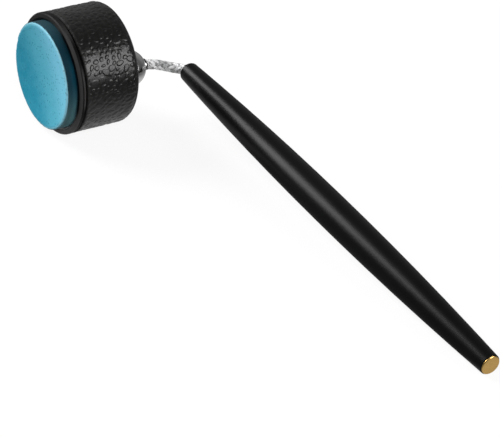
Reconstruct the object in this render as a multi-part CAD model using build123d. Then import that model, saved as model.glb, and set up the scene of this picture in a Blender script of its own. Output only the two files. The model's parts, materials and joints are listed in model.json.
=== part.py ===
from build123d import *
import os
from cmath import rect
from math import asin, atan2, cos, degrees, hypot, pi, radians, sin, sqrt

# Hand-held holder for round cue chalk, lying on a table. Millimetres, +Z up, the table at Z = 0.
# The cup lies on its side with its axis along Y and the chalk facing -Y. Its magnet holds a steel
# ball, and a braided cable runs from the ball, round a quarter turn, into a handle along +X.

# Chalk and the paper band round it
chalk_r = 13.25
chalk_out = 2.7
chalk_edge_round = 0.25
dish_depth = 1.1
dish_rim = 0.7
label_t = 0.15
label_setback = 0.35

# Cup
socket_clearance = 0.1
socket_depth = 12.0
socket_chamfer = 0.55
floor_t = 1.4
shell_wall = 0.95
leather_t = 0.8
leather_seam = 0.12
bezel_t = 1.55
bezel_round = 0.7
bezel_back_round = 0.25
bezel_groove = 0.4
skirt_t = 0.5
skirt_length = 2.2
skirt_clearance = 0.02
back_round = 2.5
back_rim = 1.0
back_rim_inset = 0.05
pad_t = 0.8
pad_inset = 0.6
pad_gap = 0.05

# Magnet in the cup's back, and the ball that it holds
magnet_r = 7.5
magnet_t = 3.0
magnet_recess = 0.7
magnet_chamfer = 0.25
magnet_clearance = 0.05
ball_r = 4.75
ball_gap = 0.05
ball_drop = 3.1
ball_side = 0.6
ball_bore_depth = 6.5
ball_bore_chamfer = 0.2

# Braided cable over a soft wire core, bent in two tangent arcs
cable_r = 1.25
core_r = 0.7
core_clearance = 0.02
cable_clearance = 0.05
cable_end_gap = 0.1
straight_at_ball = 0.1
ball_bend_r = 10.0
ball_bend_turn = 52.0
mouth_bend_r = 4.2
straight_at_mouth = 0.4

# Handle
barrel_length = 127.6
barrel_swell = 1.66
mouth_wall = 1.2
mouth_round = 0.8
butt_round = 0.15
cable_bore_depth = 15.0
cap_margin = 0.02
cap_t = 0.3
cap_chamfer = 0.12
cap_stem_r = 1.2
cap_stem_length = 8.0
cap_clearance = 0.02
cap_end_gap = 0.4

# Sizes that follow
magnet_floor = socket_depth + floor_t
magnet_face = magnet_floor + magnet_t
cup_length = magnet_face + magnet_recess
label_r = chalk_r + label_t
socket_r = label_r + socket_clearance
band_r = socket_r + shell_wall
cup_r = band_r + leather_t
back_rim_r = cup_r - back_rim_inset
leather_front = bezel_t + bezel_groove
leather_back = cup_length - back_rim
leather_back_angle = degrees(asin(1 - back_rim / back_round))
pad_front = socket_depth - pad_t
chalk_back = pad_front - pad_gap
cable_bore_r = cable_r + cable_clearance
barrel_end_r = cable_bore_r + mouth_wall
barrel_belly_r = barrel_end_r + barrel_swell
cap_r = barrel_end_r - butt_round - cap_margin
mouth_bend_turn = 90 - ball_bend_turn

# The cable is drawn in a flat frame of its own: the ball's centre is its origin, the cable leaves the
# ball along +Y, and the handle's axis runs along +X.
bend_start_y = ball_r + straight_at_ball
turn = radians(ball_bend_turn)
bend_end_x = ball_bend_r * (1 - cos(turn)) + mouth_bend_r * cos(turn)
handle_y = bend_start_y + ball_bend_r * sin(turn) + mouth_bend_r * (1 - sin(turn))
mouth_x = bend_end_x + straight_at_mouth
butt_x = mouth_x + barrel_length
cable_start_y = ball_r - ball_bore_depth + cable_end_gap
cable_end_x = mouth_x + cable_bore_depth - cable_end_gap

# The barrel's side is one circular arc from end to end. The rounding at its butt has its centre at
# edge_x, edge_r, and the handle slopes down from the ball until that rounding touches the table.
half_length = barrel_length / 2
side_r = (half_length**2 + barrel_swell**2) / (2 * barrel_swell)
edge_x = butt_x - butt_round
edge_r = sqrt((side_r - butt_round)**2 - (half_length - butt_round)**2) + barrel_belly_r - side_r
ball_y = magnet_face + ball_gap + ball_r
ball_z = cup_r - ball_drop
slope = asin((ball_z - butt_round) / hypot(edge_x, edge_r)) - atan2(edge_r, edge_x)
handle_slope = degrees(slope)

# The origin is on the table, under the middle of the whole holder.
reach_x = ball_side + (butt_x + cap_t) * cos(slope) + (cap_r - cap_chamfer) * sin(slope)
centre_x = (reach_x - cup_r) / 2
centre_y = (ball_y + handle_y + barrel_belly_r - chalk_out) / 2
table_centre = Pos(-centre_x, -centre_y, 0)
cup_place = table_centre * Pos(0, 0, cup_r)
wand_place = table_centre * Pos(ball_side, ball_y, ball_z) * Rot(0, handle_slope, 0)
barrel_place = wand_place * Pos(mouth_x, handle_y, 0)


def turned(corners, axis):
    """Solid of revolution; each corner is (x, y) or (x, y, radius of its rounding)."""
    points = [corner[:2] for corner in corners]
    rounds = [corner[2] if len(corner) == 3 else 0 for corner in corners]
    outline = FilletPolyline(*points, radius=rounds, close=True)
    return revolve(make_face(outline), axis)


def about_cup_axis(corners):
    """Turned on the cup's axis: corners are (radius, distance behind the bezel's front face)."""
    return turned(corners, Axis.Y)


def back_edge(outer_r, start, end):
    """Stretch of the cup's rounded back edge, between angles that go from 0 at its side to 90 at its back."""
    return CenterArc((outer_r - back_round, cup_length - back_round), back_round, start, end - start)


def about_handle_axis(corners):
    """Turned on the handle's axis: corners are (distance from the cable mouth, radius)."""
    return turned(corners, Axis.X)


def cable_path():
    """Centre line of the cable, from inside the ball to inside the barrel."""
    at_ball = Line((0, cable_start_y), (0, bend_start_y))
    first = JernArc(at_ball @ 1, at_ball % 1, ball_bend_r, -ball_bend_turn)
    second = JernArc(first @ 1, first % 1, mouth_bend_r, -mouth_bend_turn)
    in_barrel = Line(second @ 1, (cable_end_x, handle_y))
    return Wire([at_ball, first, second, in_barrel])


def cable_section(outer, inner):
    """Ring or disc across the cable where it starts in the ball."""
    across = Plane(origin=(0, cable_start_y, 0), z_dir=(0, 1, 0))
    face = across * Circle(outer)
    if inner > 0:
        face = face - across * Circle(inner)
    return face


def unbend_point(start, heading, end, length):
    """Point about which an eighth of a turn lays a bent run of the cable out straight at its full length."""
    eighth = rect(1, -pi / 4)
    return (start + heading * length - eighth * end) / (1 - eighth)


def handle_barrel():
    # One long arc from mouth to belly to butt, with both ends rounded
    mouth_edge = (0, barrel_end_r)
    butt_edge = (barrel_length, barrel_end_r)
    profile = ThreePointArc(mouth_edge, (half_length, barrel_belly_r), butt_edge)
    sides = Polyline(mouth_edge, (0, 0), (barrel_length, 0), butt_edge)
    face = make_face([profile, sides])
    mouth_corner = face.vertices().sort_by_distance(mouth_edge)[0]
    face = fillet(mouth_corner, min(mouth_round, 0.75 * mouth_wall))
    butt_corner = face.vertices().sort_by_distance(butt_edge)[0]
    face = fillet(butt_corner, butt_round)
    solid = revolve(face, Axis.X)
    cable_bore = about_handle_axis([
        (0, 0),
        (cable_bore_depth, 0),
        (cable_bore_depth, cable_bore_r),
        (0, cable_bore_r),
    ])
    stem_bore_r = cap_stem_r + cap_clearance
    stem_bore = about_handle_axis([
        (barrel_length - cap_stem_length - cap_end_gap, 0),
        (barrel_length, 0),
        (barrel_length, stem_bore_r),
        (barrel_length - cap_stem_length - cap_end_gap, stem_bore_r),
    ])
    return barrel_place * (solid - cable_bore - stem_bore)


def butt_cap():
    return barrel_place * about_handle_axis([
        (barrel_length - cap_stem_length, 0),
        (barrel_length + cap_t, 0),
        (barrel_length + cap_t, cap_r - cap_chamfer),
        (barrel_length + cap_t - cap_chamfer, cap_r),
        (barrel_length, cap_r),
        (barrel_length, cap_stem_r),
        (barrel_length - cap_stem_length, cap_stem_r),
    ])


def cable_braid():
    return wand_place * sweep(cable_section(cable_r, core_r + core_clearance), path=cable_path())


def cable_core():
    return wand_place * sweep(cable_section(core_r, 0), path=cable_path())


def ball_end():
    # Bored along the way the cable leaves, with the bore's edge broken
    bore_edge = sqrt(ball_r**2 - cable_bore_r**2)
    bore = about_cup_axis([
        (0, ball_r - ball_bore_depth),
        (cable_bore_r, ball_r - ball_bore_depth),
        (cable_bore_r, bore_edge - ball_bore_chamfer),
        (cable_bore_r + 2 * ball_bore_chamfer, bore_edge + ball_bore_chamfer),
        (0, bore_edge + ball_bore_chamfer),
    ])
    return wand_place * (Sphere(ball_r) - bore)


def cup_shell():
    # Its rim behind the leather is part of the rounded back edge
    magnet_pocket_r = magnet_r + magnet_clearance
    skirt_end = bezel_t + skirt_length
    rebate_r = band_r - skirt_t
    rim = back_edge(back_rim_r, leather_back_angle, 90)
    sides = Polyline(
        rim @ 1,
        (magnet_pocket_r, cup_length),
        (magnet_pocket_r, magnet_floor),
        (0, magnet_floor),
        (0, socket_depth),
        (socket_r, socket_depth),
        (socket_r, bezel_t),
        (rebate_r, bezel_t),
        (rebate_r, skirt_end),
        (band_r, skirt_end),
        (band_r, leather_back),
        rim @ 0,
    )
    return cup_place * revolve(make_face([rim, sides]), Axis.Y)


def front_bezel():
    # Front ring with a thin skirt that sits in the shell's rebate, under the leather
    skirt_inner_r = band_r - skirt_t + skirt_clearance
    skirt_end = bezel_t + skirt_length
    return cup_place * about_cup_axis([
        (socket_r, socket_chamfer),
        (socket_r + socket_chamfer, 0),
        (cup_r, 0, bezel_round),
        (cup_r, bezel_t, bezel_back_round),
        (band_r, bezel_t),
        (band_r, skirt_end),
        (skirt_inner_r, skirt_end),
        (skirt_inner_r, bezel_t),
        (socket_r, bezel_t),
    ])


def leather_wrap():
    # A strip bent round the cup, thinner over the rounded back edge; its two ends meet in a narrow seam
    # above the table, away from the handle
    edge = back_edge(cup_r, 0, leather_back_angle)
    sides = Polyline(edge @ 1, (band_r, leather_back), (band_r, leather_front), (cup_r, leather_front), edge @ 0)
    band = revolve(make_face([edge, sides]), Axis.Y)
    seam = Pos(-cup_r, cup_length / 2, 0) * Box(4 * leather_t, 2 * cup_length, leather_seam)
    return cup_place * (band - seam)


def back_magnet():
    return cup_place * about_cup_axis([
        (0, magnet_floor),
        (magnet_r, magnet_floor),
        (magnet_r, magnet_face - magnet_chamfer),
        (magnet_r - magnet_chamfer, magnet_face),
        (0, magnet_face),
    ])


def chalk_pad():
    return cup_place * about_cup_axis([
        (0, pad_front),
        (socket_r - pad_inset, pad_front),
        (socket_r - pad_inset, socket_depth),
        (0, socket_depth),
    ])


def chalk_cake():
    # The face is a shallow spherical dish inside a narrow flat rim
    dish_r = chalk_r - dish_rim
    body = about_cup_axis([
        (0, -chalk_out),
        (chalk_r, -chalk_out, chalk_edge_round),
        (chalk_r, chalk_back),
        (0, chalk_back),
    ])
    sphere_r = (dish_r**2 + dish_depth**2) / (2 * dish_depth)
    dish = Pos(0, dish_depth - chalk_out - sphere_r, 0) * Sphere(sphere_r)
    return cup_place * (body - dish)


def chalk_label():
    return cup_place * about_cup_axis([
        (chalk_r, label_setback - chalk_out),
        (label_r, label_setback - chalk_out),
        (label_r, chalk_back),
        (chalk_r, chalk_back),
    ])


nodes = {
    "handle_barrel": handle_barrel(),
    "butt_cap": butt_cap(),
    "cable_braid": cable_braid(),
    "cable_core": cable_core(),
    "ball_end": ball_end(),
    "cup_shell": cup_shell(),
    "front_bezel": front_bezel(),
    "leather_wrap": leather_wrap(),
    "back_magnet": back_magnet(),
    "chalk_pad": chalk_pad(),
    "chalk_cake": chalk_cake(),
    "chalk_label": chalk_label(),
}

os.makedirs("parts", exist_ok=True)
for name, solid in nodes.items():
    export_step(solid, f"parts/{name}.step")

cable_length = cable_path().length
swept = nodes["cable_core"].volume / (pi * core_r**2 * cable_length)
print(f"cable: {cable_length:.2f} long, swept volume ratio {swept:.4f}")

# Each of the cable's two joints takes half of the bend; complex numbers stand for points of its flat frame
mouth = complex(mouth_x, handle_y)
middle = ball_bend_r * complex(1 - cos(pi / 4), sin(pi / 4)) + complex(0, bend_start_y)
mouth_half = straight_at_mouth + mouth_bend_r * (pi / 2 - turn) + ball_bend_r * (turn - pi / 4)
ball_half = ball_bend_r * pi / 4 + bend_start_y
mouth_joint = unbend_point(mouth, -1, middle, mouth_half)
ball_joint = unbend_point(middle, rect(1, -3 * pi / 4), 0, ball_half)
for label, point in (("mouth half", mouth_joint), ("ball half", ball_joint)):
    print(f"{label} of the cable bends about {(wand_place * Pos(point.real, point.imag, 0)).position}")
print(f"across {wand_place.z_axis.direction}; ball at {wand_place.position}")
butt_place = barrel_place * Pos(barrel_length + cap_t, 0, 0)
print(f"cup axis at {cup_place.position}, butt face at {butt_place.position}")
print(f"handle slope {handle_slope:.3f}")
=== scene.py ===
"""Hand-held cue chalk holder, dressed for rendering on its CAD frame. Metres, +Z up, the table at Z = 0."""
import json
import math

import bpy
import numpy as np
from mathutils import Matrix, Vector


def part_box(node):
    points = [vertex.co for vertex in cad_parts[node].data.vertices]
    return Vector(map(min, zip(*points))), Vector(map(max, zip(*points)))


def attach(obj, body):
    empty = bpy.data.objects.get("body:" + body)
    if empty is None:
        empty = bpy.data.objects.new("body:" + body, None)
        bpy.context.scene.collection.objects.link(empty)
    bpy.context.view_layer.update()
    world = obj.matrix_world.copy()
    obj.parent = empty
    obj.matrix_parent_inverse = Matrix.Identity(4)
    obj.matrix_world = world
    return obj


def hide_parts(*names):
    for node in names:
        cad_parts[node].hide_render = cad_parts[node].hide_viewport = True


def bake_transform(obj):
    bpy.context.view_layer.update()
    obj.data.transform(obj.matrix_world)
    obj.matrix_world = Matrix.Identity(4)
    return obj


bl_info = {
    "name": "Chalk holder",
    "version": (1, 0, 0),
    "blender": (4, 5, 0),
    "location": "View3D > Sidebar > Chalk holder",
    "description": "Dresses a hand-held cue chalk holder and sets it on a pale studio table",
    "category": "Object",
}

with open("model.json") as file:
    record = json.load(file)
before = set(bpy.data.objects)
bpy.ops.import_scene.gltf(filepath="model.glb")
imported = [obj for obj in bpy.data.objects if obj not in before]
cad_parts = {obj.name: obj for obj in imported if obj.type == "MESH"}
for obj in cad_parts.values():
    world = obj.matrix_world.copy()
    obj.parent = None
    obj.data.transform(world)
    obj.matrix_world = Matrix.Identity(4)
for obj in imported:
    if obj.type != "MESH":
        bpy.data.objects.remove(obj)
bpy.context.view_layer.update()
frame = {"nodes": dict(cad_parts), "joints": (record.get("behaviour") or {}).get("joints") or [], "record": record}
NODES = frame["nodes"]
JOINTS = {joint["name"]: joint for joint in frame["joints"]}
MM = 0.001
AXES = ((1.0, 0.0, 0.0), (0.0, 1.0, 0.0), (0.0, 0.0, 1.0))


def length(label, text, millimetres):
    """Property that holds a length, shown in the scene's units."""
    return bpy.props.FloatProperty(
        name=label, description=text, default=millimetres * MM, unit="LENGTH", precision=5
    )


def light_power(label, text, watts):
    """Property that holds the power of a light."""
    return bpy.props.FloatProperty(name=label, description=text, default=watts, unit="POWER")


def colour(label, text, default):
    """Property that holds a linear colour."""
    return bpy.props.FloatVectorProperty(
        name=label, description=text, default=default, size=3, min=0, max=1, subtype="COLOR"
    )


def count(label, text, default):
    """Property that holds a whole number."""
    return bpy.props.IntProperty(name=label, description=text, default=default, min=1)


class LeatherSettings(bpy.types.PropertyGroup):
    """The pebbled leather band round the cup."""

    black: colour("Leather", "Colour of the dyed leather", (0.0042, 0.0039, 0.0037))
    thickness: length("Thickness", "Thickness of the leather strip", 0.78)
    edge_round: length("Edge rounding", "Radius of the strip's outer edges", 0.30)
    back_round: length("Back rounding", "Radius of the cup's back edge, which the strip follows", 2.5)
    pebbles: count("Pebbles", "Number of pebbles on the whole strip", 620)
    pebble_lift: length("Pebble height", "Height of a pebble over the leather's ground", 0.09)
    pebble_slope: length("Pebble edge", "Width of the slope round a pebble", 0.24)
    grid: length("Mesh step", "Distance between the band's vertices", 0.09)


class ChalkSettings(bpy.types.PropertyGroup):
    """The chalk and its paper band."""

    blue: colour("Chalk", "Colour of the pressed chalk", (0.076, 0.345, 0.455))
    # The deep and pale colours paint shade and light across the chalk's face; the pale colour also tints its
    # mottle
    deep: colour("Deep side", "Colour of the chalk's painted_shaded side", (0.018, 0.225, 0.330))
    pale: colour("Pale side", "Colour of the chalk's painted_lit side", (0.160, 0.47, 0.62))
    speck: colour("Specks", "Colour of the darker grains", (0.022, 0.150, 0.215))
    paper: colour("Label", "Colour of the paper band", (0.0024, 0.0225, 0.036))
    # Painted light: the band's paler lower side and top
    paper_painted_light: colour("Lit label", "Colour of the band's dusty lower side", (0.070, 0.150, 0.165))
    dish: length("Dish", "Depth of the dished face", 1.1)
    rim: length("Rim", "Width of the flat rim round the dish", 0.7)
    edge_round: length("Edge rounding", "Radius of the chalk's worn edge", 0.25)
    grain: length("Grain", "Height of the grain on the chalk's face", 0.022)


class CableSettings(bpy.types.PropertyGroup):
    """The braided cable."""

    radius: length("Radius", "Outer radius of the braid", 1.30)
    bundles: count("Bundles each way", "Bundles of wires that wind each way", 8)
    wires: count("Wires", "Wires side by side in a bundle", 5)
    wire: length("Wire", "Diameter of one wire", 0.142)
    lay: length("Lay", "Length in which a bundle goes round once", 14.5)
    steel: colour("Steel", "Colour of the wires", (0.88, 0.88, 0.89))


class HandleSettings(bpy.types.PropertyGroup):
    """The handle, the ball and the metal of the cup."""

    black: colour("Handle", "Colour of the handle's black finish", (0.0024, 0.0024, 0.0025))
    cup_black: colour("Cup", "Colour of the cup's black finish", (0.0095, 0.0090, 0.0092))
    bezel: colour("Bezel", "Colour of the bezel's charcoal finish", (0.034, 0.033, 0.033))
    brass: colour("Brass", "Colour of the butt's disc", (0.72, 0.455, 0.145))
    chrome: colour("Chrome", "Colour of the ball", (0.66, 0.66, 0.655))


class StageSettings(bpy.types.PropertyGroup):
    """Floor, lights and camera."""

    floor: colour("Floor", "Colour of the table", (0.16, 0.16, 0.16))
    studio: colour("Studio", "Colour of the dim room round the table", (0.11, 0.11, 0.11))
    window: colour("Window side", "Colour of the room's lighter side, behind on the left", (0.31, 0.31, 0.31))
    side_light: light_power("Side light", "Power of the panel behind on the right", 5.7)
    key_light: light_power("Key light", "Power of the panel in front on the left", 20.5)
    front_fill: light_power("Front fill", "Power of the low panel in front of the chalk", 1.5)
    side_fill: light_power("Side fill", "Power of the soft panel beside the camera", 5.2)
    lens: bpy.props.FloatProperty(
        name="Lens", description="Focal length on a 36 mm wide frame", default=173.05, unit="CAMERA"
    )


class HolderSettings(bpy.types.PropertyGroup):
    """Everything about the chalk holder that a user would change."""

    leather: bpy.props.PointerProperty(type=LeatherSettings)
    chalk: bpy.props.PointerProperty(type=ChalkSettings)
    cable: bpy.props.PointerProperty(type=CableSettings)
    handle: bpy.props.PointerProperty(type=HandleSettings)
    stage: bpy.props.PointerProperty(type=StageSettings)


class Term:
    """A node's output in a formula: arithmetic on terms and numbers adds Math nodes."""

    def __init__(self, look, socket):
        self.look = look
        self.socket = socket

    def math(self, operation, *values):
        """Adds a Math node on terms and numbers."""
        return self.look.node("ShaderNodeMath", {"operation": operation}, dict(enumerate(values)))

    def __add__(self, other):
        return self.math("ADD", self, other)

    __radd__ = __add__

    def __sub__(self, other):
        return self.math("SUBTRACT", self, other)

    def __rsub__(self, other):
        return self.math("SUBTRACT", other, self)

    def __mul__(self, other):
        return self.math("MULTIPLY", self, other)

    __rmul__ = __mul__

    def __truediv__(self, other):
        return self.math("DIVIDE", self, other)

    def __rtruediv__(self, other):
        return self.math("DIVIDE", other, self)

    def sine(self):
        return self.math("SINE", self)

    def ramp(self, low, high, start=0.0, end=1.0):
        """Smooth step from start to end while the term goes from low to high."""
        return self.look.node(
            "ShaderNodeMapRange",
            {"interpolation_type": "SMOOTHSTEP"},
            {"Value": self, "From Min": low, "From Max": high, "To Min": start, "To Max": end},
        )


class Shading:
    """A tree of shader nodes, with a method that adds any node."""

    def __init__(self, tree, coordinates):
        self.tree = tree
        self.place = self.node("ShaderNodeTexCoord", output=coordinates)

    def node(self, kind, settings=None, inputs=None, output=0):
        """Adds a node: its settings first, then the values or links of its sockets."""
        made = self.tree.nodes.new(kind)
        for key, value in (settings or {}).items():
            setattr(made, key, value)
        for key, value in (inputs or {}).items():
            if isinstance(value, Term):
                self.tree.links.new(value.socket, made.inputs[key])
            else:
                made.inputs[key].default_value = value
        return Term(self, made.outputs[output])

    def noise(self, cells_per_mm, detail=2.0, place=None, spread=0.5):
        """Cloudy noise, whose finer layers weigh more with a larger spread."""
        inputs = {
            "Vector": place or self.place,
            "Scale": cells_per_mm / MM,
            "Detail": detail,
            "Roughness": spread,
        }
        return self.node("ShaderNodeTexNoise", None, inputs)

    def cells(self, cells_per_mm, feature="F1", output="Distance"):
        """Cells round scattered points."""
        inputs = {"Vector": self.place, "Scale": cells_per_mm / MM}
        return self.node("ShaderNodeTexVoronoi", {"feature": feature}, inputs, output)

    def mix(self, factor, first, second):
        """Colour between first and second."""
        ends = {6: first, 7: second}
        ends = {key: value if isinstance(value, Term) else (*value, 1.0) for key, value in ends.items()}
        return self.node("ShaderNodeMix", {"data_type": "RGBA"}, {0: factor, **ends}, 2)

    def vector(self, operation, *values, output=0):
        """Adds a Vector Math node."""
        return self.node("ShaderNodeVectorMath", {"operation": operation}, dict(enumerate(values)), output)

    def distance_from(self, point):
        """Distance of the shaded point from a point, in millimetres."""
        return self.vector("DISTANCE", self.place, tuple(point), output="Value") / MM

    def distance_from_line(self, point, direction):
        """Distance of the shaded point from a line, in millimetres."""
        away = self.vector("SUBTRACT", self.place, tuple(point))
        across = self.vector("CROSS_PRODUCT", away, tuple(Vector(direction).normalized()))
        return self.vector("LENGTH", across, output="Value") / MM

    def along(self, point, direction):
        """How far the shaded point lies from a point along a direction, in millimetres."""
        away = self.vector("SUBTRACT", self.place, tuple(point))
        return self.vector("DOT_PRODUCT", away, tuple(direction), output="Value") / MM

    def attribute(self, name):
        """A number that the mesh stores for each of its vertices."""
        return self.node("ShaderNodeAttribute", {"attribute_name": name}, output="Fac")


class Look(Shading):
    """One procedural material on a Principled surface."""

    def __init__(self, name, **fixed):
        self.material = bpy.data.materials.new(name)
        self.material.use_nodes = True
        super().__init__(self.material.node_tree, "Object")
        self.surface = self.tree.nodes["Principled BSDF"]
        for key, value in fixed.items():
            self.surface.inputs[key.replace("_", " ").title().replace("Ior", "IOR")].default_value = value

    def set(self, socket, value):
        """Feeds a term to one of the surface's inputs."""
        self.tree.links.new(value.socket, self.surface.inputs[socket])

    def bump(self, height, millimetres, strength=1.0):
        """Relief of the given height under the surface's normal."""
        inputs = {"Strength": strength, "Distance": millimetres * MM, "Height": height}
        self.set("Normal", self.node("ShaderNodeBump", None, inputs))


def tint(rgb, factor):
    """A colour made lighter or darker."""
    return tuple(min(1.0, part * factor) for part in rgb)


def dress(node, look):
    """Gives a CAD node its material."""
    mesh = NODES[node].data
    mesh.materials.clear()
    mesh.materials.append(look.material)


def mesh_piece(name, points, faces, look, sharp_degrees=55.0):
    """New mesh object from vertices in metres and faces, smooth but for its sharp edges."""
    mesh = bpy.data.meshes.new(name)
    mesh.from_pydata([tuple(point) for point in points], [], faces)
    mesh.validate()
    mesh.shade_smooth()
    mesh.set_sharp_from_angle(angle=math.radians(sharp_degrees))
    mesh.materials.append(look.material)
    piece = bpy.data.objects.new(name, mesh)
    bpy.context.scene.collection.objects.link(piece)
    return piece


def grid_faces(rows, columns, first=0, closed=False):
    """Quads of a grid of vertices stored row by row; a closed grid joins its last column to its first."""
    faces = []
    for row in range(rows - 1):
        for column in range(columns if closed else columns - 1):
            after = (column + 1) % columns
            low = first + row * columns
            high = low + columns
            faces.append((low + column, low + after, high + after, high + column))
    return faces


def turned_piece(name, profile, centre, look):
    """Ring turned round +Y through a point, from a closed profile of radii and distances in millimetres."""
    columns = 72
    turn = np.linspace(0, 2 * math.pi, columns, endpoint=False)
    circle = np.stack([np.cos(turn), np.zeros(columns), np.sin(turn)], 1)
    rows = [radius * circle + (0, along, 0) for radius, along in profile]
    faces = grid_faces(len(profile), columns, closed=True)
    last = (len(profile) - 1) * columns
    for column in range(columns):
        after = (column + 1) % columns
        faces.append((last + column, last + after, after, column))
    return mesh_piece(name, np.concatenate(rows) * MM + np.array(centre), faces, look, 40)


def cup_axis():
    """Middle of the cup's front, from the box of its leather band, and the band's radius and width."""
    low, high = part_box("leather_wrap")
    radius = (high[2] - low[2]) / 2
    return Vector(((low[0] + high[0]) / 2, low[1], low[2] + radius)), radius, high[1] - low[1]


class CHALK_HOLDER_OT_leather_band(bpy.types.Operator):
    """Wrap the cup in a strip of black leather with raised pebbles"""

    bl_idname = "chalk_holder.leather_band"
    bl_label = "Leather band"

    # Gap between the strip's ends, unevenness of its ground, least thickness at a rounded edge, and width of
    # the dull fringe along its edges
    seam = 0.16 * MM
    sway = 0.02 * MM
    thinnest = 0.04 * MM
    fringe_width = 0.7 * MM

    # Pebbles: half lengths in millimetres, the least and how much longer they get, with most of them short,
    # and the gap between two, counted from a share of their half lengths
    half_least = 0.46
    half_more = 0.78
    half_skew = 1.3
    half_share = 0.70
    pebble_gap = 0.34 * MM
    most_tries = 40000

    # Shapes of the pebbles: width for their length, heading and its spread in radians, taper, and height
    widths = (0.48, 0.80)
    headings = (0.9, 0.6)
    tapers = (-0.45, 0.45)
    heights = (0.75, 1.0)

    def execute(self, context):
        settings = context.scene.chalk_holder.leather
        start, radius, width = cup_axis()
        round_about = 2 * math.pi * radius
        columns = int(round_about / settings.grid)
        rows = int(width / settings.grid)
        along = np.linspace(self.seam / 2, round_about - self.seam / 2, columns)
        across = np.linspace(0, width, rows)
        lift = self.pebbles(settings, along, across)
        to_edge = np.minimum(across, width - across)[None, :]
        to_end = np.minimum(along, along[-1] - along)[:, None]
        nearest = np.minimum(to_edge, to_end * 2)
        from_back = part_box("cup_shell")[1][1] - start[1] - across
        drop = self.fall(settings.edge_round, nearest) + self.fall(settings.back_round, from_back)[None, :]
        outer = radius - settings.pebble_lift * (1 - lift) - drop
        wave = np.sin(along / (1.9 * MM))[:, None] * np.cos(across / (1.3 * MM) + 0.7)[None, :]
        outer -= self.sway * (1 + wave)
        outer = np.maximum(outer, radius - settings.thickness + self.thinnest)
        turn = math.pi + along / radius
        ring = np.stack([np.cos(turn), np.zeros_like(turn), np.sin(turn)], 1)
        points = np.array(start) + outer[:, :, None] * ring[:, None, :]
        points[:, :, 1] += across[None, :]
        inner = np.array(start) + (radius - settings.thickness) * ring
        front = inner.copy()
        back = inner.copy()
        back[:, 1] += width
        vertices = np.concatenate([points.reshape(-1, 3), front, back])
        piece = mesh_piece("leather_band", vertices, self.skin(columns, rows), self.look(settings), 75)
        fringe = np.clip(1 - nearest / self.fringe_width, 0, 1)
        for name, outside, inside in (("raised", lift, 0.0), ("fringe", fringe, 1.0)):
            values = np.append(outside.ravel(), np.full(2 * columns, inside))
            layer = piece.data.attributes.new(name, "FLOAT", "POINT")
            layer.data.foreach_set("value", values.astype(np.float32))
        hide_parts("leather_wrap")
        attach(piece, "cup")
        return {"FINISHED"}

    def skin(self, columns, rows):
        """Faces of the strip: its pebbled outside, two edges, plain inside and two ends."""
        at_front = columns * rows
        at_back = at_front + columns
        faces = [face[::-1] for face in grid_faces(columns, rows)]
        for column in range(columns - 1):
            left = column * rows
            right = left + rows
            faces.append((at_front + column, at_front + column + 1, right, left))
            faces.append((left + rows - 1, right + rows - 1, at_back + column + 1, at_back + column))
            faces.append((at_front + column + 1, at_front + column, at_back + column, at_back + column + 1))
        last = (columns - 1) * rows
        far_end = list(range(last + rows - 1, last - 1, -1))
        faces.append([at_front] + list(range(rows)) + [at_back])
        faces.append([at_back + columns - 1] + far_end + [at_front + columns - 1])
        return faces

    def scatter(self, settings, random, along, across):
        """Middles and half lengths of pebbles that keep clear of each other."""
        middles = np.zeros((0, 2))
        halves = np.zeros(0)
        for _ in range(self.most_tries):
            half = (self.half_least + self.half_more * random.random() ** self.half_skew) * MM
            spot = np.array([random.uniform(along[0], along[-1]), random.uniform(across[0], across[-1])])
            room = np.linalg.norm(middles - spot, axis=1) - self.half_share * (halves + half)
            if np.all(room > self.pebble_gap):
                middles = np.vstack([middles, spot])
                halves = np.append(halves, half)
            if len(halves) >= settings.pebbles:
                break
        return middles, halves

    def pebbles(self, settings, along, across):
        """Height of the pebbles over the strip, from 0 on the ground to 1 on top."""
        random = np.random.default_rng(11)
        lift = np.zeros((len(along), len(across)))
        for middle, long_half in zip(*self.scatter(settings, random, along, across)):
            wide_half = long_half * random.uniform(*self.widths)
            heading = random.normal(*self.headings)
            taper = random.uniform(*self.tapers)
            reach = long_half + settings.pebble_slope
            u = slice(*np.searchsorted(along, (middle[0] - reach, middle[0] + reach)))
            v = slice(*np.searchsorted(across, (middle[1] - reach, middle[1] + reach)))
            du = along[u][:, None] - middle[0]
            dv = across[v][None, :] - middle[1]
            forward = (du * math.cos(heading) + dv * math.sin(heading)) / long_half
            sideways = (dv * math.cos(heading) - du * math.sin(heading)) / (wide_half * (1 + taper * forward))
            outside = np.sqrt(forward**2 + sideways**2) - 1
            edge = outside * min(long_half, wide_half) / settings.pebble_slope
            height = np.clip(0.5 - edge, 0, 1)
            height = height * height * (3 - 2 * height) * random.uniform(*self.heights)
            lift[u, v] = np.maximum(lift[u, v], height)
        return lift

    def fall(self, rounding, distance):
        """How far a rounded edge falls away at a distance from its end."""
        short = np.clip(rounding - distance, 0, rounding)
        return rounding - np.sqrt(rounding**2 - short**2)

    def look(self, settings):
        """Glossy black leather with fine pores and creases, dull along its edges and at its seam."""
        look = Look("pebbled_black_leather", specular_ior_level=0.5)
        raised = look.attribute("raised")
        fringe = look.attribute("fringe")
        pores = look.noise(7.0, 3.0)
        cloudy = look.noise(0.35, 2.0)
        creases = look.cells(2.6, "DISTANCE_TO_EDGE").ramp(0.0, 0.09)
        look.set("Base Color", look.mix(cloudy, tint(settings.black, 0.8), tint(settings.black, 1.5)))
        look.set("Roughness", 0.25 + 0.02 * raised + 0.10 * pores + 0.65 * fringe)
        look.bump(pores * 0.6 + creases * 0.4, 0.012, 0.6)
        return look


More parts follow.
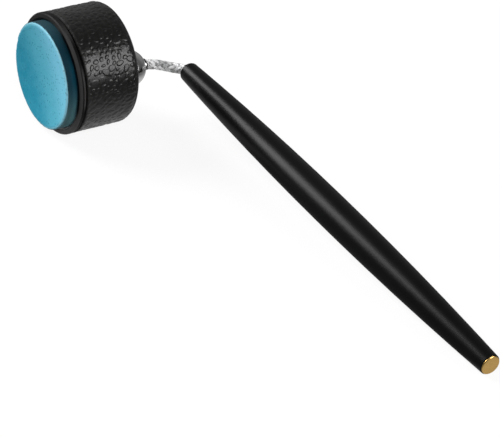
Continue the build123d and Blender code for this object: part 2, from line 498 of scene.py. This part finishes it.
class CHALK_HOLDER_OT_cup_metal(bpy.types.Operator):
    """Finish the cup's bezel, shell, magnet and pad"""

    bl_idname = "chalk_holder.cup_metal"
    bl_label = "Cup metal"

    def execute(self, context):
        settings = context.scene.chalk_holder.handle
        start, radius, _ = cup_axis()
        dress("front_bezel", self.bezel(settings.bezel, start, radius))
        dress("cup_shell", self.shell(settings.cup_black, start, radius))
        dress("back_magnet", self.nickel(start))
        dress("chalk_pad", self.rubber())
        return {"FINISHED"}

    def bezel(self, black, start, radius):
        """Charcoal ring with painted light and shade: darker on top and paler below, a paler chamfer at the bottom
        where shade falls, painted shade outside and in the gap beside the chalk, and one painted highlight line.
        """
        look = Look("satin_charcoal_bezel", specular_ior_level=0.06)
        out = look.distance_from_line(start, (0, 1, 0))
        # Millimetres to the right of the middle of the ring's front, behind it and above it
        front = (start[0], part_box("front_bezel")[0][1], start[2])
        right, back, height = (look.along(front, way) for way in AXES)
        rim = radius / MM
        # Painted shade: the ring is darker on top, and darker still on its rounding there
        top = height.ramp(0.0, 6.0) * right.ramp(8.0, -1.0)
        # Painted shadow in the gap beside the chalk, on the ring's right side
        gap = out.ramp(rim - 0.65, rim - 0.5, 1.0, 0.0) * right.ramp(3.0, 6.0) * height.ramp(-7.0, -3.0)
        # Painted light: the chamfer made much paler at the bottom, where it lies in shade
        chamfer = out.ramp(rim - 1.45, rim - 1.3, 1.0, 0.0) * height.ramp(-7.0, -11.0)
        # Painted shade on the ring's outer side, but for the top
        outside = back.ramp(0.65, 0.8) * height.ramp(15.0, 11.5)
        # Painted highlight: a pale line on the right of the ring's outer side
        at_right = right.ramp(8.0, 10.0) * height.ramp(-4.0, -1.0) * height.ramp(5.5, 8.5, 1.0, 0.0)
        wear_and_painted_highlight = back.ramp(1.0, 1.1) * at_right
        shades = (
            (top, 0.5),
            (top * out.ramp(rim - 0.6, rim - 0.4), 0.2),
            # Painted light: paler below
            (height.ramp(-2.0, -12.0), 2.0),
            (chamfer, 8.0),
            (gap, 0.03),
            (outside, 0.1),
            (wear_and_painted_highlight, 1.3),
        )
        return self.satin(look, out, black, shades)

    def shell(self, black, start, radius):
        """Satin black back, with a painted highlight that makes it paler along its outer edge."""
        look = Look("satin_black_shell", specular_ior_level=0.5)
        out = look.distance_from_line(start, (0, 1, 0))
        rim = radius / MM
        # Painted highlight: paler along the outer edge
        return self.satin(look, out, black, ((out.ramp(rim - 1.0, rim - 0.4), 6.0),))

    def satin(self, look, out, black, shades):
        """Turned satin finish: faint rings, a fine tooth, and painted light and shade given as masks, each with a
        factor.
        """
        tooth = look.noise(12.0, 2.0)
        cloudy = look.noise(0.2, 2.0)
        body = look.mix(cloudy, tint(black, 0.85), tint(black, 1.2))
        for mask, factor in shades:
            body = look.mix(mask, body, tint(black, factor))
        look.set("Base Color", body)
        look.set("Roughness", 0.40 + 0.08 * tooth + 0.05 * cloudy)
        look.bump(tooth * 0.7 + (out * 50).sine() * 0.12, 0.004, 0.5)
        return look

    def nickel(self, start):
        """Bright nickel plate with faint polishing marks and dull spots."""
        look = Look("nickel_plate", metallic=1.0)
        marks = look.noise(1.6, 4.0)
        wear_and_painted_highlight = (look.distance_from_line(start, (0, 1, 0)) * 40).sine()
        look.set("Base Color", look.mix(marks, (0.50, 0.49, 0.46), (0.66, 0.65, 0.61)))
        look.set("Roughness", 0.16 + 0.16 * marks)
        look.bump(wear_and_painted_highlight * 0.3 + marks, 0.003, 0.4)
        return look

    def rubber(self):
        """Matte black rubber with a fine open grain."""
        look = Look("pad_rubber")
        grain = look.noise(6.0, 3.0)
        look.set("Base Color", look.mix(grain, (0.012, 0.012, 0.012), (0.03, 0.03, 0.03)))
        look.set("Roughness", 0.75 + 0.2 * grain)
        look.bump(grain, 0.02)
        return look


class CHALK_HOLDER_OT_chalk(bpy.types.Operator):
    """Press the round chalk with its dished face and dress its paper band"""

    bl_idname = "chalk_holder.chalk"
    bl_label = "Chalk"

    # Chips on the rim: their number, and their half widths, depths and reach inwards in millimetres
    chips = 26
    chip_halves = (0.2, 1.0)
    chip_depths = (0.04, 0.2)
    chip_reach = (0.15, 0.5)

    # Direction across the face of the painted light: the chalk is painted paler this way and darker the other way
    painted_light_side = (0.84, 0.0, 0.54)

    def execute(self, context):
        settings = context.scene.chalk_holder.chalk
        low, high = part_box("chalk_cake")
        radius = (high[2] - low[2]) / 2
        front = Vector(((low[0] + high[0]) / 2, low[1], low[2] + radius))
        depth = high[1] - low[1]
        profile = self.profile(settings, radius, depth)
        columns = 320
        turn = np.linspace(0, 2 * math.pi, columns, endpoint=False)
        reach = np.repeat(profile[:, 0][:, None], columns, 1)
        back = np.repeat(profile[:, 1][:, None], columns, 1)
        self.wear(settings, radius, turn, reach, back)
        points = np.stack([reach * np.cos(turn), back, reach * np.sin(turn)], 2) + np.array(front)
        rows = len(profile)
        faces = grid_faces(rows, columns, closed=True)
        tip = len(points.reshape(-1, 3))
        last = (rows - 1) * columns
        ends = [np.array(front) + (0, back[0].mean(), 0), np.array(front) + (0, depth, 0)]
        for column in range(columns):
            after = (column + 1) % columns
            faces.append((tip, after, column))
            faces.append((tip + 1, last + column, last + after))
        vertices = np.concatenate([points.reshape(-1, 3), ends])
        piece = mesh_piece("chalk", vertices, faces, self.powder(settings, front, radius), 50)
        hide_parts("chalk_cake")
        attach(piece, "chalk")
        dress("chalk_label", self.paper(settings, front))
        return {"FINISHED"}

    def profile(self, settings, radius, depth):
        """Radius and depth along the chalk, from the middle of its face over the rim to its back."""
        dish_steps, rim_steps, edge_steps, side_steps = 60, 6, 7, 24
        dish_r = radius - settings.rim
        spot = np.linspace(0.3 * MM, dish_r, dish_steps)
        dish = np.stack([spot, settings.dish * (1 - (spot / dish_r) ** 2)], 1)
        soft = settings.edge_round
        rim = np.stack([np.linspace(dish_r, radius - soft, rim_steps + 1)[1:], np.zeros(rim_steps)], 1)
        bend = np.linspace(0, math.pi / 2, edge_steps + 1)[1:]
        edge = np.stack([radius - soft + soft * np.sin(bend), soft - soft * np.cos(bend)], 1)
        side = np.stack([np.full(side_steps, radius), np.linspace(soft, depth, side_steps + 1)[1:]], 1)
        return np.concatenate([dish, rim, edge, side])

    def wear(self, settings, radius, turn, reach, back):
        """Roughens the face with grain and knocks small chips off the rim."""
        random = np.random.default_rng(5)
        face = reach < radius - 0.05 * MM
        near_middle = np.clip(reach / (3 * MM), 0, 1)
        back += np.where(face, random.normal(0, settings.grain * 0.5, back.shape) * near_middle, 0)
        for _ in range(self.chips):
            middle = random.uniform(0, 2 * math.pi)
            half = random.uniform(*self.chip_halves) * MM / radius
            deep = random.uniform(*self.chip_depths) * MM
            inward = radius - random.uniform(*self.chip_reach) * MM
            off = np.abs((turn - middle + math.pi) % (2 * math.pi) - math.pi)
            along_rim = np.clip(1 - (off / half) ** 2, 0, 1)[None, :]
            chip = along_rim * np.clip((reach - inward) / (0.3 * MM), 0, 1)
            on_rim = back < 0.6 * MM
            back += np.where(on_rim, deep * chip, 0)
        back[:] = np.maximum(back, 0)

    def powder(self, settings, front, radius):
        """Pressed chalk: mottled blue with a worn paler rim and dark and pale specks, and painted light that makes
        it paler to one side and darker to the other.
        """
        look = Look("pressed_blue_chalk", roughness=0.92, specular_ior_level=0.05)
        mottle = look.noise(0.5, 4.0)
        grain = look.noise(5.0, 3.0)
        dots = look.cells(1.15)
        chosen = look.vector("DOT_PRODUCT", look.cells(1.15, output="Color"), (1.0, 0.0, 0.0), output="Value")
        specks = dots.ramp(0.12, 0.30, 1.0, 0.0) * chosen.ramp(0.35, 0.45)
        pale = look.noise(3.1, 2.0, spread=0.6).ramp(0.64, 0.74)
        rim = radius / MM
        wear_and_painted_highlight = look.distance_from_line(front, (0, 1, 0)).ramp(rim - 0.75, rim - 0.1)
        sideways = look.along(front, self.painted_light_side) / rim
        # Painted light and shade: darker to one side, paler to the other
        body = look.mix(sideways.ramp(0.1, -0.65), settings.blue, settings.deep)
        body = look.mix(sideways.ramp(0.0, 0.8), body, settings.pale)
        body = look.mix(mottle.ramp(0.25, 0.75, 0.0, 0.12), body, settings.pale)
        body = look.mix(specks * 0.8, body, settings.speck)
        body = look.mix(pale * 0.35, body, tint(settings.blue, 1.5))
        body = look.mix(wear_and_painted_highlight * 0.35, body, (0.36, 0.60, 0.68))
        look.set("Base Color", body)
        look.bump(grain + mottle * 0.5, 0.05, 0.7)
        return look

    def paper(self, settings, front):
        """Coated dark paper: faint fibres and a worn front edge, painted paler below, on top and towards the
        bezel, with a painted contact shadow at its foot.
        """
        look = Look("dark_teal_paper", specular_ior_level=0.12)
        stretched = look.vector("MULTIPLY", look.place, (1.0, 5.0, 1.0))
        fibres = look.noise(1.2, 4.0, stretched)
        right, setback, height = (look.along(front, way) for way in AXES)
        worn = setback.ramp(0.34, 0.52, 1.0, 0.0) * look.noise(1.5, 3.0).ramp(0.35, 0.6)
        # Painted light: the band is paler below and on top
        top = height.ramp(0.0, 6.0) * right.ramp(10.0, -2.0) * 0.19
        painted_light = (height.ramp(5.0, -12.0) + top) * (0.85 + 0.3 * fibres)
        body = look.mix(fibres, tint(settings.paper, 0.75), tint(settings.paper, 1.35))
        body = look.mix(painted_light, body, settings.paper_painted_light)
        # Painted contact shadow at the band's foot beside the bezel, on its right side
        painted_contact_shadow = setback.ramp(2.5, 2.9) * right.ramp(3.0, 6.0) * height.ramp(-7.0, -3.0)
        # Painted light: paler towards the bezel except near the top, against the bezel's shade; the painted
        # contact shadow darkens the foot
        paler = (1.0 + setback.ramp(1.2, 2.4) * height.ramp(11.0, 6.0) * 1.1) * (1.0 - 0.8 * painted_contact_shadow)
        body = look.node("ShaderNodeVectorMath", {"operation": "SCALE"}, {0: body, "Scale": paler})
        look.set("Base Color", look.mix(worn * 0.5, body, (0.16, 0.27, 0.30)))
        look.set("Roughness", 0.60 + 0.15 * fibres)
        look.bump(fibres, 0.015, 0.5)
        return look


class CHALK_HOLDER_OT_ball(bpy.types.Operator):
    """Plate the ball end with chrome and set a collar round the cable's bore, lined with a dark ring that stands
    in for the shade in the bore
    """

    bl_idname = "chalk_holder.ball"
    bl_label = "Ball end"

    # Chrome collar and the dark ring in it, which stands in for the shade in the bore's mouth, in millimetres:
    # inner and outer radius, both ends as heights over the ball's outline, and the collar's cut corner
    collar_radii = (1.42, 1.74)
    collar_ends = (-0.55, -0.06)
    shade_radii = (1.34, 1.48)
    shade_ends = (-0.2, 0.36)
    corner = 0.10

    def execute(self, context):
        chrome = self.chrome(context.scene.chalk_holder.handle.chrome)
        dress("ball_end", chrome)
        low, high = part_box("ball_end")
        middle = [(low[axis] + high[axis]) / 2 for axis in (0, 2)]
        reach = (high[0] - low[0]) / 2
        centre = (middle[0], low[1] + reach, middle[1])
        rings = (
            ("ball_collar", self.collar(reach / MM), chrome),
            ("collar_shade", self.shade(reach / MM), self.shadow_ring_black()),
        )
        for name, profile, finish in rings:
            piece = turned_piece(name, profile, centre, finish)
            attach(piece, "ball")
        return {"FINISHED"}

    def collar(self, ball_radius):
        """Profile of the chrome lip, just under the ball's outline."""
        inner, outer = self.collar_radii
        low, high = (ball_radius + end for end in self.collar_ends)
        cut = (outer - self.corner, high)
        return [(outer, high - self.corner), (outer, low), (inner, low), (inner, high), cut]

    def shade(self, ball_radius):
        """Profile of the dark ring that stands in for the shade in the bore: it lines the lip and stands out of
        it.
        """
        inner, outer = self.shade_radii
        low, high = (ball_radius + end for end in self.shade_ends)
        return [(outer, high), (outer, low), (inner, low), (inner, high)]

    def chrome(self, plate):
        """Polished chrome with soft smudges and hairlines."""
        look = Look("polished_chrome", metallic=1.0)
        smudges = look.noise(0.45, 3.0)
        hairlines = look.noise(9.0, 2.0)
        look.set("Base Color", look.mix(smudges, tint(plate, 0.94), tint(plate, 1.03)))
        look.set("Roughness", 0.12 + 0.08 * smudges)
        look.bump(hairlines, 0.001, 0.25)
        return look

    def shadow_ring_black(self):
        """Dull, mottled black that stands in for the shade in the bore's mouth."""
        look = Look("painted_shadow_ring", specular_ior_level=0.2)
        dull = look.noise(4.0, 3.0)
        look.set("Base Color", look.mix(dull, (0.004, 0.004, 0.004), (0.016, 0.016, 0.016)))
        look.set("Roughness", 0.5 + 0.3 * dull)
        look.bump(dull, 0.004, 0.4)
        return look


class CHALK_HOLDER_OT_cable(bpy.types.Operator):
    """Braid the cable over its core, in two halves, one at the ball and one at the handle"""

    bl_idname = "chalk_holder.cable"
    bl_label = "Braided cable"

    # Corners of the cable's route from inside the ball to inside the handle, in millimetres from the ball's
    # middle: along the handle, across it, and off the plane of the bend, where the cable sags a little
    route = (
        (0, -1.65, 0),
        (0, 0.6, 0),
        (0, 6.6, -0.15),
        (1.1, 9.6, -0.75),
        (3.6, 12.4, -0.9),
        (5.5, 13.62, -0.35),
        (8.0, 13.62, 0),
        (21.73, 13.62, 0),
    )

    # Points of the route where the two halves meet, where the handle's mouth is, and where the ball begins
    middle = (2.5, 10.9, -0.8)
    mouth = (6.83, 13.62, 0)
    at_ball = (0, 4.85, 0)

    # Length at each end of a half, in millimetres, by which the points at its ends are set in
    inset = 0.42

    # Shares of a wire's diameter: how far a bundle rides up at a crossing, the step from wire to wire in a
    # bundle, and the room between the bundles and the core
    lift = 0.56
    pitch = 1.03
    core_room = 0.4

    # Sides of the cross-sections of a wire and of the core
    wire_sides = 6
    core_sides = 24

    # Tones of the bundles, how far one wire differs, and the painted shade: how much paler a bundle is on top of a
    # crossing and darker where it dips under
    bundle_tones = (0.15, 0.70)
    wire_tones = (-0.12, 0.12)
    painted_crossing_shade = 0.25

    def execute(self, context):
        settings = context.scene.chalk_holder.cable
        up = Vector(JOINTS["cable_bend"]["axis"]).normalized()
        side = Vector((0, 1, 0))
        lengthwise = side.cross(up)
        ball = Vector(JOINTS["cup_swivel"]["pos_m"])
        plane = Matrix((lengthwise, side, up)).transposed()

        def spot(*corner):
            return ball + plane @ (Vector(corner) * MM)

        line = self.centre_line([spot(*corner) for corner in self.route])
        strands = self.braid(settings, line, up)
        middle = spot(*self.middle)
        split = int(np.argmin(np.linalg.norm(line - np.array(middle), axis=1)))
        look = self.bright_wire(settings)
        dark = self.core_wire()
        halves = (
            ("cable_at_ball", 0, split, "cable", "ball", middle, spot(*self.at_ball)),
            ("cable_at_handle", split, len(line) - 1, "handle", "cable", spot(*self.mouth), middle),
        )
        for name, first, last, near, far, start, end in halves:
            piece = self.half(name, strands, first, last, look, dark)
            inset = (end - start).normalized() * self.inset * MM
            tuple(start + inset)
            tuple(end - inset)
            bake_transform(piece)
            if far == "cable":
                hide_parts("cable_braid", "cable_core")
        return {"FINISHED"}

    def centre_line(self, corners):
        """Points of the smooth curve that the route's corners steer."""
        curve = bpy.data.curves.new("cable_route", "CURVE")
        curve.dimensions = "3D"
        curve.resolution_u = 26
        spline = curve.splines.new("NURBS")
        spline.points.add(len(corners) - 1)
        for point, corner in zip(spline.points, corners):
            point.co = (*corner, 1.0)
        spline.order_u = 3
        spline.use_endpoint_u = True
        holder = bpy.data.objects.new("cable_route", curve)
        mesh = bpy.data.meshes.new_from_object(holder)
        points = np.array([vertex.co for vertex in mesh.vertices])
        bpy.data.objects.remove(holder)
        bpy.data.meshes.remove(mesh)
        bpy.data.curves.remove(curve)
        keep = np.concatenate([[True], np.linalg.norm(np.diff(points, axis=0), axis=1) > 1e-7])
        return points[keep]

    def braid(self, settings, line, up):
        """Centre line, radius, sides and tone of every wire, two over and two under, and of the core."""
        random = np.random.default_rng(23)
        steps = np.linalg.norm(np.diff(line, axis=0), axis=1)
        travel = np.concatenate([[0], np.cumsum(steps)])
        along = np.gradient(line, axis=0)
        along /= np.linalg.norm(along, axis=1)[:, None]
        out_a = np.tile(np.array(up), (len(line), 1))
        out_b = np.cross(along, out_a)
        turn = 2 * math.pi * travel / settings.lay
        ride_up = settings.wire * self.lift
        mean = settings.radius - settings.wire / 2 - ride_up
        strands = []
        for way in (1, -1):
            for bundle in range(settings.bundles):
                bundle_tone = random.uniform(*self.bundle_tones)
                crossing = turn * settings.bundles / math.pi
                phase = 2 * bundle + way * crossing
                over = way * np.clip(1.5 * np.cos(math.pi * (phase - 0.5) / 2), -1, 1)
                for wire in range(settings.wires):
                    across = (wire - (settings.wires - 1) / 2) * settings.wire * self.pitch
                    lean = across / mean / math.cos(math.atan(2 * math.pi * mean / settings.lay))
                    angle = way * turn + 2 * math.pi * bundle / settings.bundles + lean
                    radius = mean + ride_up * over
                    out = np.cos(angle)[:, None] * out_a + np.sin(angle)[:, None] * out_b
                    tone = bundle_tone + random.uniform(*self.wire_tones) + self.painted_crossing_shade * over
                    strands.append((line + radius[:, None] * out, settings.wire / 2, self.wire_sides, tone))
        core = mean - ride_up - settings.wire * self.core_room
        strands.append((line, core, self.core_sides, np.zeros(len(line))))
        return strands

    def half(self, name, strands, first, last, look, dark):
        """One mesh with every wire and the core from one point of the line to another."""
        vertices = []
        faces = []
        slots = []
        tones = []
        for strand, thick, sides, tone in strands:
            run = np.gradient(strand, axis=0)
            run /= np.linalg.norm(run, axis=1)[:, None]
            hint = np.tile(np.array((0.0, 0.0, 1.0)), (len(run), 1))
            wide = np.cross(run, hint)
            wide /= np.linalg.norm(wide, axis=1)[:, None]
            tall = np.cross(wide, run)
            turn = np.linspace(0, 2 * math.pi, sides, endpoint=False)
            part = slice(first, last + 1)
            ring = np.cos(turn)[None, :, None] * wide[part, None, :]
            ring = ring + np.sin(turn)[None, :, None] * tall[part, None, :]
            tube = strand[part, None, :] + thick * ring
            offset = sum(len(block) for block in vertices)
            rows = last + 1 - first
            quads = grid_faces(rows, sides, offset, closed=True)
            quads.append(tuple(range(offset + sides - 1, offset - 1, -1)))
            quads.append(tuple(range(offset + (rows - 1) * sides, offset + rows * sides)))
            vertices.append(tube.reshape(-1, 3))
            faces.extend(quads)
            slots.extend([int(sides == self.core_sides)] * len(quads))
            tones.extend(np.repeat(tone[part], sides))
        piece = mesh_piece(name, np.concatenate(vertices), faces, look, 60)
        piece.data.materials.append(dark.material)
        piece.data.polygons.foreach_set("material_index", slots)
        piece.data.attributes.new("tone", "FLOAT", "POINT").data.foreach_set("value", tones)
        return piece

    def bright_wire(self, settings):
        """Fine bright wires: each a little lighter or darker, with painted shade at the crossings, and drawn
        marks.
        """
        look = Look("bright_steel_wire", metallic=0.25)
        uneven = look.noise(1.3, 2.0)
        drawn = look.noise(14.0, 2.0)
        tone = look.attribute("tone") + 0.6 * uneven - 0.3
        look.set("Base Color", look.mix(tone.ramp(0.1, 0.9), tint(settings.steel, 0.30), settings.steel))
        look.set("Roughness", 0.40 + 0.15 * drawn)
        look.bump(drawn, 0.004, 0.4)
        return look

    def core_wire(self):
        """Dull soft wire that shows as a dark ground between the bundles."""
        look = Look("core_wire", metallic=1.0)
        dull = look.noise(3.0, 3.0)
        look.set("Base Color", look.mix(dull, (0.20, 0.20, 0.20), (0.36, 0.355, 0.35)))
        look.set("Roughness", 0.45 + 0.2 * dull)
        return look


class CHALK_HOLDER_OT_handle(bpy.types.Operator):
    """Finish the handle in satin black, with its brass butt"""

    bl_idname = "chalk_holder.handle"
    bl_label = "Handle"

    def execute(self, context):
        settings = context.scene.chalk_holder.handle
        butt = next(mount for mount in frame["record"]["mounts"] if mount["name"] == "butt_face")
        dress("handle_barrel", self.satin_black(settings, butt))
        dress("butt_cap", self.faced_brass(settings, butt))
        return {"FINISHED"}

    def satin_black(self, settings, butt):
        """Even satin black with a fine tooth, faint turning marks and light handling."""
        look = Look("satin_black_handle", specular_ior_level=0.1)
        tooth = look.noise(9.0, 3.0)
        handled = look.noise(0.08, 3.0)
        turned = (look.along(butt["pos_m"], butt["axis"]) * 30).sine()
        look.set("Base Color", look.mix(handled, tint(settings.black, 0.8), tint(settings.black, 1.3)))
        look.set("Roughness", 0.30 + 0.05 * handled + 0.06 * tooth)
        look.bump(tooth * 0.8 + turned * 0.1, 0.003, 0.5)
        return look

    def faced_brass(self, settings, butt):
        """Brass faced on a lathe: fine rings, and a little tarnish towards the edge."""
        look = Look("faced_brass", metallic=1.0)
        out = look.distance_from(butt["pos_m"])
        rings = (out * 60).sine()
        tarnish = look.noise(1.1, 3.0)
        rim = out.ramp(1.2, 2.2)
        body = look.mix(tarnish, tint(settings.brass, 0.9), tint(settings.brass, 1.12))
        look.set("Base Color", look.mix(rim * 0.25 * tarnish, body, tint(settings.brass, 0.6)))
        look.set("Roughness", 0.22 + 0.12 * tarnish)
        look.bump(rings * 0.4 + tarnish, 0.003, 0.4)
        return look


class CHALK_HOLDER_OT_stage(bpy.types.Operator):
    """Lay a pale table, light it with soft panels and set up the camera"""

    bl_idname = "chalk_holder.stage"
    bl_label = "Stage"

    # Points that the lights face, and the camera's place and axes, fitted to the photograph
    at_cup = (-0.06, -0.01, 0.015)
    at_handle = (0.02, 0.0, 0.01)
    camera_at = (0.39424, -0.26635, 0.29687)
    camera_right = (0.53042, 0.84544, 0.06236)
    camera_ahead = (-0.70230, 0.47944, -0.52622)

    def execute(self, context):
        settings = context.scene.chalk_holder.stage
        context.scene.view_settings.view_transform = "Standard"
        self.table(settings)
        self.room(context, settings)
        self.panel("side_panel", self.at_cup, 31, 24, 1.1, (0.42, 0.62), settings.side_light)
        self.panel("key_panel", self.at_handle, -150, 31, 1.3, (0.62, 0.64), settings.key_light)
        fills = (
            self.panel("front_fill", self.at_cup, -97, 5, 1.0, (0.40, 0.14), settings.front_fill),
            self.panel("side_fill", self.at_cup, -25, 30, 1.0, (0.4, 0.4), settings.side_fill),
        )
        for fill in fills:
            fill.visible_glossy = False
        self.camera(context, settings)
        return {"FINISHED"}

    def table(self, settings):
        """White table that takes a soft shadow; it shows paler to the camera, and reflections see painted pools of
        light on it near the cup and the butt.
        """
        half = 3.0
        corners = [(-half, -half, 0), (half, -half, 0), (half, half, 0), (-half, half, 0)]
        look = Look("white_table", roughness=0.9, specular_ior_level=0.0)
        cloudy = look.noise(0.004, 2.0)
        look.set("Base Color", look.mix(cloudy, tint(settings.floor, 0.985), tint(settings.floor, 1.015)))
        piece = mesh_piece("table", corners, [(0, 1, 2, 3)], look)
        white = look.node("ShaderNodeEmission", None, {"Color": (1, 1, 1, 1), "Strength": 2.95})
        rays = ("Camera", "Glossy", "Transmission")
        camera, glossy, through = (look.node("ShaderNodeLightPath", output=f"Is {ray} Ray") for ray in rays)
        cup, _, width = cup_axis()
        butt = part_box("butt_cap")[1]
        # Painted light: pools near the cup and the butt that only reflections see
        near = look.distance_from((cup[0], cup[1] + width / 2, 0)).ramp(20, 44, 0.17, 0.01)
        near = near + look.distance_from((butt[0], butt[1], 0)).ramp(3, 11, 0.15, 0.0)
        lit = Term(look, look.surface.outputs[0])
        paler = camera * 0.30 + (glossy + through) * near
        shown = look.node("ShaderNodeMixShader", None, {0: paler, 1: lit, 2: white})
        look.tree.links.new(shown.socket, look.tree.nodes["Material Output"].inputs["Surface"])

    def room(self, context, settings):
        """Dim light from the room, stronger from one side."""
        world = bpy.data.worlds.new("dim_studio")
        world.use_nodes = True
        sky = Shading(world.node_tree, "Generated")
        towards = Vector((-0.78, 0.56, 0.28)).normalized()
        lighter = sky.vector("DOT_PRODUCT", sky.place, tuple(towards), output="Value").ramp(0.35, 1.0)
        shade = sky.mix(lighter, tuple(settings.studio), tuple(settings.window))
        sky.tree.links.new(shade.socket, sky.tree.nodes["Background"].inputs["Color"])
        context.scene.world = world

    def panel(self, name, target, azimuth, elevation, away, size, power):
        """Soft rectangular light that faces a point, seen from it at an azimuth and elevation in degrees."""
        lamp = bpy.data.lights.new(name, "AREA")
        lamp.shape = "RECTANGLE"
        lamp.size, lamp.size_y = size
        lamp.energy = power
        around = math.radians(azimuth)
        above = math.radians(elevation)
        level = math.cos(above)
        towards = Vector((math.cos(around) * level, math.sin(around) * level, math.sin(above)))
        lit = bpy.data.objects.new(name, lamp)
        lit.location = Vector(target) + towards * away
        lit.rotation_euler = towards.to_track_quat("Z", "Y").to_euler()
        bpy.context.scene.collection.objects.link(lit)
        return lit

    def camera(self, context, settings):
        """The photograph's view, from above on the butt's side."""
        right = Vector(self.camera_right).normalized()
        ahead = Vector(self.camera_ahead).normalized()
        above = right.cross(ahead).normalized()
        right = ahead.cross(above)
        seen = bpy.data.cameras.new("photo_view")
        seen.sensor_width = 36.0
        seen.lens = settings.lens
        seen.clip_start = 0.01
        seen.clip_end = 50.0
        placed = bpy.data.objects.new("photo_view", seen)
        turned = Matrix((right, above, -ahead)).transposed().to_4x4()
        placed.matrix_world = Matrix.Translation(self.camera_at) @ turned
        context.scene.collection.objects.link(placed)
        context.scene.camera = placed


class CHALK_HOLDER_PT_panel(bpy.types.Panel):
    """Lists the holder's settings and the operators that build it"""

    bl_idname = "CHALK_HOLDER_PT_panel"
    bl_label = "Chalk holder"
    bl_space_type = "VIEW_3D"
    bl_region_type = "UI"
    bl_category = "Chalk holder"

    def draw(self, context):
        for group, operators in STEPS.items():
            box = self.layout.box()
            settings = getattr(context.scene.chalk_holder, group)
            for name in settings.bl_rna.properties.keys():
                if name not in ("rna_type", "name"):
                    box.prop(settings, name)
            for operator in operators:
                box.operator(operator.bl_idname)


STEPS = {
    "leather": (CHALK_HOLDER_OT_leather_band,),
    "chalk": (CHALK_HOLDER_OT_chalk,),
    "cable": (CHALK_HOLDER_OT_cable,),
    "handle": (CHALK_HOLDER_OT_cup_metal, CHALK_HOLDER_OT_ball, CHALK_HOLDER_OT_handle),
    "stage": (CHALK_HOLDER_OT_stage,),
}
CLASSES = (
    LeatherSettings,
    ChalkSettings,
    CableSettings,
    HandleSettings,
    StageSettings,
    HolderSettings,
    *(operator for operators in STEPS.values() for operator in operators),
    CHALK_HOLDER_PT_panel,
)


def register():
    for kind in CLASSES:
        bpy.utils.register_class(kind)
    bpy.types.Scene.chalk_holder = bpy.props.PointerProperty(type=HolderSettings)


def unregister():
    del bpy.types.Scene.chalk_holder
    for kind in reversed(CLASSES):
        bpy.utils.unregister_class(kind)


def main():
    register()
    bpy.ops.chalk_holder.stage()
    bpy.ops.chalk_holder.cable()
    bpy.ops.chalk_holder.leather_band()
    bpy.ops.chalk_holder.cup_metal()
    bpy.ops.chalk_holder.chalk()
    bpy.ops.chalk_holder.ball()
    bpy.ops.chalk_holder.handle()


if __name__ == "__main__":
    main()
